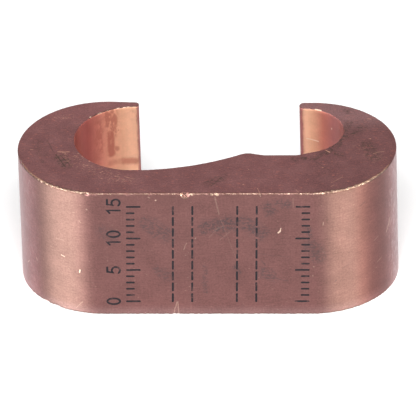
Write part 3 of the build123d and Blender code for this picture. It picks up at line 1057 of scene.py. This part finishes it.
def cut_material(finish):
    """Sawn copper: dull, with fine streaks along the body, reddish veins, dark specks and clouds, grime
    beside the tap groove, flecks, scraped stretches, chips and worn edges."""
    material, tree, shader, place = new_material("copper_cut", metallic=1.0)
    across, back, _ = separate(tree, place)
    broad = noise(tree, place, 0.30, 4.0)
    streak = noise(tree, place, 1.2, 4.0, 0.7, stretch=(0.7, 4.0, 1.0), turned=math.radians(-3))
    grain = noise(tree, place, 4.5, 4.0, 0.75)
    tone = blend(tree, remap(tree, broad, 0.30, 0.85), finish.cut, finish.cut_light)
    # The cut faces are coloured darker towards the right and paler towards the back, with pale mauve blended
    # in at the back right.
    tone = shade(tree, tone, remap(tree, across, 6.0, 22.0), 1.04, 0.90)
    tone = shade(tree, tone, remap(tree, back, 2.0, 11.0), 1.0, 1.16)
    paler_back_right = part_of(tree, remap(tree, across, 6.0, 14.0), remap(tree, back, 3.0, 8.0))
    tone = blend(tree, part_of(tree, paler_back_right, 0.20), tone, finish.dust)
    tone = mottle(tree, tone, (streak, 0.09), (grain, 0.24))
    veins = noise(tree, place, 2.4, 5.0, 0.85, stretch=(0.6, 1.7, 1.0), shift=7.0)
    tone = blend(tree, part_of(tree, remap(tree, veins, 0.56, 0.66), 0.75), tone, finish.vein)
    specks = noise(tree, place, 3.2, 4.0, 0.8, stretch=(0.7, 1.6, 1.0), shift=17.0)
    tone = blend(tree, part_of(tree, remap(tree, specks, 0.59, 0.70), 0.55), tone, finish.grime)

    cloudy = remap(tree, noise(tree, place, 1.7, 5.0, 0.8), 0.40, 0.66)
    smudge = part_of(tree, strokes(tree, wander(tree, place, 1.1, 1.2), CUT_SMUDGES), cloudy)
    tone = blend(tree, part_of(tree, smudge, 0.85), tone, finish.grime)
    ragged = wander(tree, place, 1.8, 0.30)
    tone = blend(tree, part_of(tree, strokes(tree, ragged, CUT_LINES), 0.8), tone, finish.grime)
    scratch = strokes(tree, ragged, CUT_SCRATCHES)
    fleck = remap(tree, noise(tree, place, 3.2, 2.0, 0.6, stretch=(0.6, 1.4, 1.0), shift=3.0), 0.72, 0.80)
    flecks = math_node(tree, "MAXIMUM", scratch, part_of(tree, fleck, 0.4))
    scraped = remap(tree, noise(tree, place, 4.2, 3.0, 0.7, stretch=(0.7, 1.4, 1.0), shift=23.0), 0.56, 0.66)
    scraped = part_of(tree, scraped, strokes(tree, place, CUT_SCRAPED))
    flecks = math_node(tree, "MAXIMUM", flecks, scraped)
    edge, rubbed_edge = edge_mask(tree, place)
    tone = blend(tree, part_of(tree, edge, 0.7), tone, finish.dull)
    tone = blend(tree, rubbed_edge, tone, finish.rim)
    tone = blend(tree, part_of(tree, flecks, 0.75), tone, finish.fleck)
    tone = blend(tree, part_of(tree, strokes(tree, place, CUT_CHIPS), 0.85), tone, finish.worn)

    level = math_node(tree, "ADD", finish.cut_roughness - 0.06, part_of(tree, grain, 0.12))
    rough = math_node(tree, "SUBTRACT", level, part_of(tree, flecks, 0.10))
    height = math_node(tree, "ADD", part_of(tree, streak, 0.5), part_of(tree, grain, 0.6))
    fill_shader(tree, shader, tone, rough, height, 0.5, 0.03 * MM)
    return material


# Marks on the groove walls, in millimetres along the inner side from the run groove's lowest point, which
# is negative towards the run hook, and up from the base
GROOVE_STAINS = (
    (-21.55, 15.4, -21.6, 12.2, 0.30, 0.45, 0.9),
    (-21.9, 13.1, -22.4, 12.8, 0.15, 0.40, 0.7),
    (-21.4, 10.8, -23.2, 10.7, 0.10, 0.60, 0.5),
    (-23.2, 10.7, -24.9, 10.5, 0.15, 0.65, 0.75),
)
GROOVE_SMEARS = (
    (-21.6, 18.8, -21.9, 15.8, 0.55, 0.90, 0.8),
    (-19.7, 17.4, -19.7, 12.9, 0.30, 1.00, 0.6),
    (-24.6, 18.1, -25.0, 17.4, 0.25, 0.60, 0.3),
)


def colour_stops(tree, value, stops):
    """A colour that changes with a value: each stop is a value and its colour."""
    values, colours = zip(*stops)
    share = add(tree, "ShaderNodeMapRange", {"Value": value, 1: values[0], 2: values[-1]}).outputs[0]
    ramp = add(tree, "ShaderNodeValToRGB", {"Fac": share})
    elements = ramp.color_ramp.elements
    for place, tone in zip(values[1:-1], colours[1:-1]):
        elements.new((place - values[0]) / (values[-1] - values[0])).color = (*tone, 1.0)
    elements[0].color, elements[len(stops) - 1].color = (*colours[0], 1.0), (*colours[-1], 1.0)
    return ramp.outputs["Color"]


def groove_material(finish, shape):
    """Copper of the groove walls, bright near both hooks' tips and dark red deep down: partly copper that is
    cleaner near the tips and darker tarnish deep down, partly painted light where the front lamp falls on
    the tips and painted shade deep in the grooves. With stains under the run hook, a pale scratch under the
    tap hook, and tarnish on the open saddle between and on the rounded tips."""
    material, tree, shader, place = new_material("copper_groove", metallic=0.25, specular_ior_level=0.3)
    run_tip, run_wall, tap_start, tap_wall, tap_tip = inner_lengths(shape)
    loose = wander(tree, place, 0.7, 0.5)
    along = separate(tree, loose)["X"]
    # Bright near the hooks' tips and dark red deep down: partly the copper's tarnish, partly painted light
    # near the tips and painted shade deep in the grooves.
    tone = colour_stops(
        tree,
        along,
        (
            (run_tip, finish.deep_tap),
            (run_wall - 0.35, finish.deep_tap),
            (run_wall - 0.15, finish.groove),
            (run_wall + 0.9, finish.groove),
            (run_wall + 1.8, finish.clean),
            (run_wall + 5.3, finish.middle),
            (run_wall + 7.3, finish.deep),
            (0.5, finish.deep),
            (4.5, finish.skin_end),
            (tap_start - 4.0, finish.skin_end),
            (tap_start - 1.0, finish.deep_tap),
            (tap_wall - 4.4, finish.deep_tap),
            (tap_wall - 2.7, finish.middle),
            (tap_wall - 1.0, finish.clean),
            (tap_wall - 0.4, finish.groove),
            (tap_wall, finish.groove),
            (tap_wall + 0.25, finish.deep_tap),
            (tap_tip, finish.deep_tap),
        ),
    )
    drawn = noise(tree, place, 1.0, 3.0, 0.6, stretch=(3.0, 0.08, 1.0))
    broad = noise(tree, place, 0.4, 3.0)
    grain = noise(tree, place, 3.0, 3.0, 0.65)
    tone = mottle(tree, tone, (broad, 0.06), (drawn, 0.02), (grain, 0.03))
    patchy = noise(tree, place, 1.3, 2.0, 0.6, stretch=(1.3, 0.7, 1.0), shift=2.0)
    smeared = part_of(tree, strokes(tree, loose, GROOVE_SMEARS), remap(tree, patchy, 0.40, 0.60))
    solid = strokes(tree, wander(tree, place, 1.5, 0.45), GROOVE_STAINS)
    solid = part_of(tree, solid, remap(tree, patchy, 0.25, 0.50, 0.7, 1.0))
    stain = math_node(tree, "MAXIMUM", smeared, solid)
    tone = blend(tree, part_of(tree, stain, 0.90), tone, finish.stain)

    tap_scratch = (
        (tap_wall - 0.3, 14.4, tap_wall - 1.9, 14.15, 0.03, 0.10, 0.7),
        (tap_wall - 4.15, 16.95, tap_wall - 4.15, 16.85, 0.05, 0.09, 0.6),
    )
    tone = blend(tree, part_of(tree, strokes(tree, place, tap_scratch), 0.8), tone, finish.fresh)
    saddle_end = remap(tree, along, tap_start - 1.0, tap_start - 4.0)
    saddle = part_of(tree, remap(tree, along, 0.5, 4.5), saddle_end)
    level = math_node(tree, "ADD", finish.groove_roughness - 0.04, part_of(tree, grain, 0.08))
    rough = math_node(tree, "ADD", level, part_of(tree, saddle, 0.18))
    rough = math_node(tree, "ADD", rough, part_of(tree, stain, 0.15))
    height = math_node(tree, "ADD", part_of(tree, drawn, 0.3), part_of(tree, grain, 0.2))
    fill_shader(tree, shader, tone, rough, height, 0.3, 0.015 * MM)
    return material


def ink_material(marks, finish):
    """Matt dark ink, rubbed thin in places so that the copper shows through."""
    material, tree, shader, _ = new_material("gauge_ink", metallic=0.0, specular_ior_level=0.1)
    spot = add(tree, "ShaderNodeTexCoord").outputs["Object"]
    place = vector_node(tree, "SCALE", {0: spot, "Scale": 1 / MM})
    rubbed = remap(tree, noise(tree, place, 0.9, 4.0, 0.8), 0.50, 0.75)
    tone = blend(tree, part_of(tree, rubbed, 0.4), marks.ink, finish.skin)
    rough = remap(tree, rubbed, 0.0, 1.0, 0.8, 0.6)
    fill_shader(tree, shader, tone, rough, rubbed, 0.2, 0.01 * MM)
    return material


def inner_lengths(shape):
    """Lengths along the inner side, in millimetres from the run groove's lowest point: the run hook's tip,
    the start of its groove wall, the start of the tap groove, the end of its wall, and the tap hook's tip."""
    inner = measured(profile_pieces(shape)[1])
    lowest, *lengths = sample(inner, np.array([3.0, 0.0, 1.0, 5.0, 7.0, 8.0]))[1]
    return [float(place - lowest) / MM for place in lengths]


class CONNECTOR_OT_body(bpy.types.Operator):
    """Build the copper body over the CAD solid"""

    bl_idname = "connector.body"
    bl_label = "Copper body"

    def execute(self, context):
        shape, finish = context.scene.connector_shape, context.scene.connector_finish
        points, faces, places, parts, wears = build_body(shape)
        materials = (skin_material(finish), groove_material(finish, shape), cut_material(finish))
        piece = mesh_object("connector_skin", points, faces, places, parts, materials)
        wear = piece.data.attributes.new(EDGE_WEAR, "FLOAT", "POINT")
        wear.data.foreach_set("value", wears)
        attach(piece, "root")
        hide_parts("connector_body")
        return {"FINISHED"}


# Plain print on the front, in millimetres: the rulers' edges and which way their ticks point, the numbers'
# foot, and the dashed lines
TICKS = 16
TALL_EVERY = 5
RULERS = ((-10.5, 1), (13.85, -1))
NUMBERS_ALONG = -11.45
DASHED_LINES = (-4.35, -1.75, 4.25, 6.85)
DASHES = 9
DASH_STEP = 1.5
DIGIT_STEP = 0.82
DIGIT_WIDTH = 0.6


def ribbon(path, closes, width, rise, sink, first):
    """One pen stroke as a closed mesh in millimetres: along, up and out from the skin. Its flat-topped
    section, with both shoulders cut off, is carried along the path. Joints are mitred: the section widens
    by one over the cosine of half the bend. At an open end it narrows as the cosine of an angle while it
    moves on by half the width times the sine. first is the number of its first vertex."""
    step = np.roll(path, -1, axis=0) - path
    step /= np.linalg.norm(step, axis=1)[:, None]
    before = np.roll(step, 1, axis=0)
    if not closes:
        step[-1], before[0] = step[-2], step[0]
    tangent = step + before
    tangent /= np.linalg.norm(tangent, axis=1)[:, None]
    half = width / 2 / np.clip((tangent * step).sum(axis=1), 0.5, 1)
    if not closes:
        bend = np.radians([78, 52, 26])
        start = path[0] - tangent[0] * (width / 2 * np.sin(bend))[:, None]
        end = path[-1] + tangent[-1] * (width / 2 * np.sin(bend[::-1]))[:, None]
        path = np.vstack([start, path, end])
        tangent = np.vstack([tangent[:1]] * 3 + [tangent] + [tangent[-1:]] * 3)
        half = np.concatenate([width / 2 * np.cos(bend), half, width / 2 * np.cos(bend[::-1])])
    side = np.column_stack([-tangent[:, 1], tangent[:, 0]]) * half[:, None]
    right = np.array([(0.85, rise), (1, 0.5 * rise), (1, -sink)])
    section = np.vstack([right[::-1] * (-1, 1), right])
    flat = path[:, None, :] + side[:, None, :] * section[None, :, :1]
    out = np.broadcast_to(section[None, :, 1:], (*flat.shape[:2], 1))
    rings = np.concatenate([flat, out], axis=2)
    index = first + np.arange(rings.shape[0] * len(section)).reshape(-1, len(section))
    around = closing(index)
    if closes:
        around = np.concatenate([around, around[:1]])
    faces = quads(around)[..., ::-1].reshape(-1, 4).tolist()
    if not closes:
        faces += [index[0].tolist(), index[-1, ::-1].tolist()]
    return rings.reshape(-1, 3), faces


def digit_path(digit):
    """The pen path of a 0, a 1 or a 5 in a box as wide as a digit and 1 high, and whether it closes: the 0
    is an ellipse, the 5 ends in a bowl of one radius."""
    if digit == "0":
        angle = np.linspace(0, 2 * math.pi, 37)[:-1]
        return np.column_stack([0.3 + 0.27 * np.cos(angle), 0.5 + 0.5 * np.sin(angle)]), True
    if digit == "1":
        return np.array([(0.14, 0.80), (0.38, 1.0), (0.38, 0.0)]), False
    bowl = arc((0.26, 0.32), 0.32, math.radians(128), math.radians(-138), 24)
    return np.vstack([[(0.54, 1.0), (0.13, 1.0)], bowl]), False


def number_paths(number, along, up, height):
    """Paths of a number that reads upwards on the front, centred on a height: across the digits is up, and
    their tops point left."""
    start = up - (len(number) * DIGIT_STEP - (DIGIT_STEP - DIGIT_WIDTH)) * height / 2
    for place, digit in enumerate(number):
        path, closes = digit_path(digit)
        across = start + (place * DIGIT_STEP + path[:, 0]) * height
        yield np.column_stack([along - path[:, 1] * height, across]), closes


def scale_paths(marks):
    """Every path of the gauge: a ruler with numbers on the left, a ruler on the right, and two pairs of
    dashed lines between them."""
    short, tall = marks.short_tick / MM, marks.numeral / MM
    heights = (marks.foot + np.arange(TICKS) * marks.pitch) / MM
    for base, side in RULERS:
        for tick, up in enumerate(heights):
            reach = short if tick % TALL_EVERY else tall
            yield np.array([(base, up), (base + side * reach, up)]), False
    for tick in range(0, TICKS, TALL_EVERY):
        yield from number_paths(str(tick), NUMBERS_ALONG, heights[tick], tall)
    dash_length = (heights[-1] - heights[0]) / (DASH_STEP * (DASHES - 1) + 1)
    for along in DASHED_LINES:
        for low in heights[0] + DASH_STEP * dash_length * np.arange(DASHES):
            yield np.array([(along, low), (along, low + dash_length)]), False


class CONNECTOR_OT_marks(bpy.types.Operator):
    """Print plain gauge marks on the front"""

    bl_idname = "connector.marks"
    bl_label = "Gauge marks"

    def execute(self, context):
        scene = context.scene
        shape, finish, marks = scene.connector_shape, scene.connector_finish, scene.connector_marks
        points, faces = [], []
        made = 0
        for path, closes in scale_paths(marks):
            stroke, rows = ribbon(path, closes, marks.stroke / MM, marks.rise / MM, marks.sink / MM, made)
            points.append(stroke)
            faces += rows
            made += len(stroke)
        along, up, out = np.vstack(points).T
        along = along + (up - (CAD_HIGH.z - CAD_LOW.z) / MM / 2) * math.tan(marks.lean)
        face = CAD_LOW.y / MM + shape.skin_depth / MM
        placed = np.column_stack([along, face - out, up + CAD_LOW.z / MM]) * MM
        mesh = bpy.data.meshes.new("gauge_marks")
        mesh.from_pydata(placed.tolist(), [], faces)
        mesh.materials.append(ink_material(marks, finish))
        mesh.update()
        piece = bpy.data.objects.new("gauge_marks", mesh)
        scene.collection.objects.link(piece)
        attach(piece, "root")
        return {"FINISHED"}


FLOOR_REACH = 3.0
LAMP_TARGET = Vector((0.0, 0.0, 0.01))
# Each lamp's azimuth and elevation in degrees, its distance, width and height in metres, and its tint
LAMPS = {
    "left_lamp": (-50.5, 1.2, 1.0, 0.95, 0.036, (1.0, 1.0, 0.98)),
    "right_lamp": (48, 1.2, 1.0, 0.89, 0.036, (1.0, 0.96, 0.85)),
    "front_lamp": (3, 46, 1.1, 0.5, 0.4, (1.0, 1.0, 1.0)),
}


def towards(azimuth, elevation):
    """Direction from the object to a camera or lamp at two angles in radians."""
    level = math.cos(elevation)
    return Vector((math.sin(azimuth) * level, -math.cos(azimuth) * level, math.sin(elevation)))


def lamp(name, power, azimuth, elevation, distance, width, height, tint):
    """A soft rectangular lamp that looks at the object from a direction given as for the camera."""
    data = bpy.data.lights.new(name, "AREA")
    data.shape = "RECTANGLE"
    data.size, data.size_y = width, height
    data.energy = power
    data.color = tint
    piece = bpy.data.objects.new(name, data)
    piece.location = distance * towards(math.radians(azimuth), math.radians(elevation))
    piece.rotation_euler = (LAMP_TARGET - piece.location).to_track_quat("-Z", "Y").to_euler()
    piece.visible_camera = False
    bpy.context.scene.collection.objects.link(piece)


def seen_directly(tree):
    """1 for rays that carry the picture: camera, glossy and transmission rays."""
    path = add(tree, "ShaderNodeLightPath").outputs
    glossy = math_node(tree, "MAXIMUM", path["Is Camera Ray"], path["Is Glossy Ray"])
    return math_node(tree, "MAXIMUM", glossy, path["Is Transmission Ray"])


def floor_material(stage):
    """Pale matt floor that is lifted to white where the picture or a reflection sees it."""
    material = bpy.data.materials.new("pale_floor")
    material.use_nodes = True
    tree = material.node_tree
    tree.nodes.clear()
    matt = add(tree, "ShaderNodeBsdfDiffuse", {"Color": (*stage.floor, 1.0)})
    spot = add(tree, "ShaderNodeTexCoord").outputs["Object"]
    away = vector_node(tree, "LENGTH", {0: spot})
    level = remap(tree, away, 0.15, 1.6, stage.near_lift, stage.far_lift)
    lift = part_of(tree, seen_directly(tree), level)
    glow = add(tree, "ShaderNodeEmission", {"Color": (1.0, 1.0, 1.0, 1.0), "Strength": lift})
    both = add(tree, "ShaderNodeAddShader", {0: matt.outputs[0], 1: glow.outputs[0]})
    add(tree, "ShaderNodeOutputMaterial", {"Surface": both.outputs[0]})
    return material


class CONNECTOR_OT_stage(bpy.types.Operator):
    """Build the floor, the lamps, the world and the camera"""

    bl_idname = "connector.stage"
    bl_label = "Studio"

    def execute(self, context):
        stage = context.scene.connector_stage
        corners = [(x * FLOOR_REACH, y * FLOOR_REACH, 0.0) for x, y in ((-1, -1), (1, -1), (1, 1), (-1, 1))]
        mesh = bpy.data.meshes.new("floor")
        mesh.from_pydata(corners, [], [(0, 1, 2, 3)])
        mesh.materials.append(floor_material(stage))
        floor = bpy.data.objects.new("floor", mesh)
        context.scene.collection.objects.link(floor)

        for name, place in LAMPS.items():
            lamp(name, getattr(stage, name), *place)

        world = bpy.data.worlds.new("studio")
        world.use_nodes = True
        tree = world.node_tree
        tree.nodes.clear()
        level = remap(tree, seen_directly(tree), 0.0, 1.0, stage.fill, 1.0)
        sky = add(tree, "ShaderNodeBackground", {"Color": (1.0, 1.0, 1.0, 1.0), "Strength": level})
        add(tree, "ShaderNodeOutputWorld", {"Surface": sky.outputs[0]})
        context.scene.world = world

        right = Vector((math.cos(stage.azimuth), math.sin(stage.azimuth), 0.0))
        back = towards(stage.azimuth, stage.elevation)
        up = back.cross(right)
        tilted_right = right * math.cos(stage.roll) - up * math.sin(stage.roll)
        tilted_up = right * math.sin(stage.roll) + up * math.cos(stage.roll)
        data = bpy.data.cameras.new("camera")
        data.lens = stage.lens
        data.clip_start, data.clip_end = 0.01, 20.0
        camera = bpy.data.objects.new("camera", data)
        middle = tilted_right * stage.aim_right + tilted_up * stage.aim_up
        turned = Matrix((tilted_right, tilted_up, back)).transposed().to_4x4()
        camera.matrix_world = Matrix.Translation(middle + back * stage.distance) @ turned
        context.scene.collection.objects.link(camera)
        context.scene.camera = camera
        context.scene.view_settings.view_transform = "Standard"
        return {"FINISHED"}


class CONNECTOR_PT_panel(bpy.types.Panel):
    """Sizes, colours and buttons of the connector"""

    bl_idname = "CONNECTOR_PT_panel"
    bl_label = "Grounding connector"
    bl_space_type = "VIEW_3D"
    bl_region_type = "UI"
    bl_category = "Connector"

    def draw(self, context):
        scene = context.scene
        for setting, group in SETTINGS.items():
            box = self.layout.box()
            for name in group.__annotations__:
                box.prop(getattr(scene, setting), name)
        for operator in (CONNECTOR_OT_body, CONNECTOR_OT_marks, CONNECTOR_OT_stage):
            self.layout.operator(operator.bl_idname)


SETTINGS = {
    "connector_shape": ConnectorShape,
    "connector_finish": ConnectorFinish,
    "connector_marks": ConnectorMarks,
    "connector_stage": ConnectorStage,
}
CLASSES = (
    *SETTINGS.values(),
    CONNECTOR_OT_body,
    CONNECTOR_OT_marks,
    CONNECTOR_OT_stage,
    CONNECTOR_PT_panel,
)


def register():
    """Registers the classes and puts their settings on the scene."""
    for cls in CLASSES:
        bpy.utils.register_class(cls)
    for setting, group in SETTINGS.items():
        setattr(bpy.types.Scene, setting, PointerProperty(type=group))


def unregister():
    """Takes the settings off the scene and unregisters the classes."""
    for setting in SETTINGS:
        delattr(bpy.types.Scene, setting)
    for cls in reversed(CLASSES):
        bpy.utils.unregister_class(cls)


def main():
    """Builds every piece."""
    register()
    bpy.ops.connector.body()
    bpy.ops.connector.marks()
    bpy.ops.connector.stage()


if __name__ == "__main__":
    main()
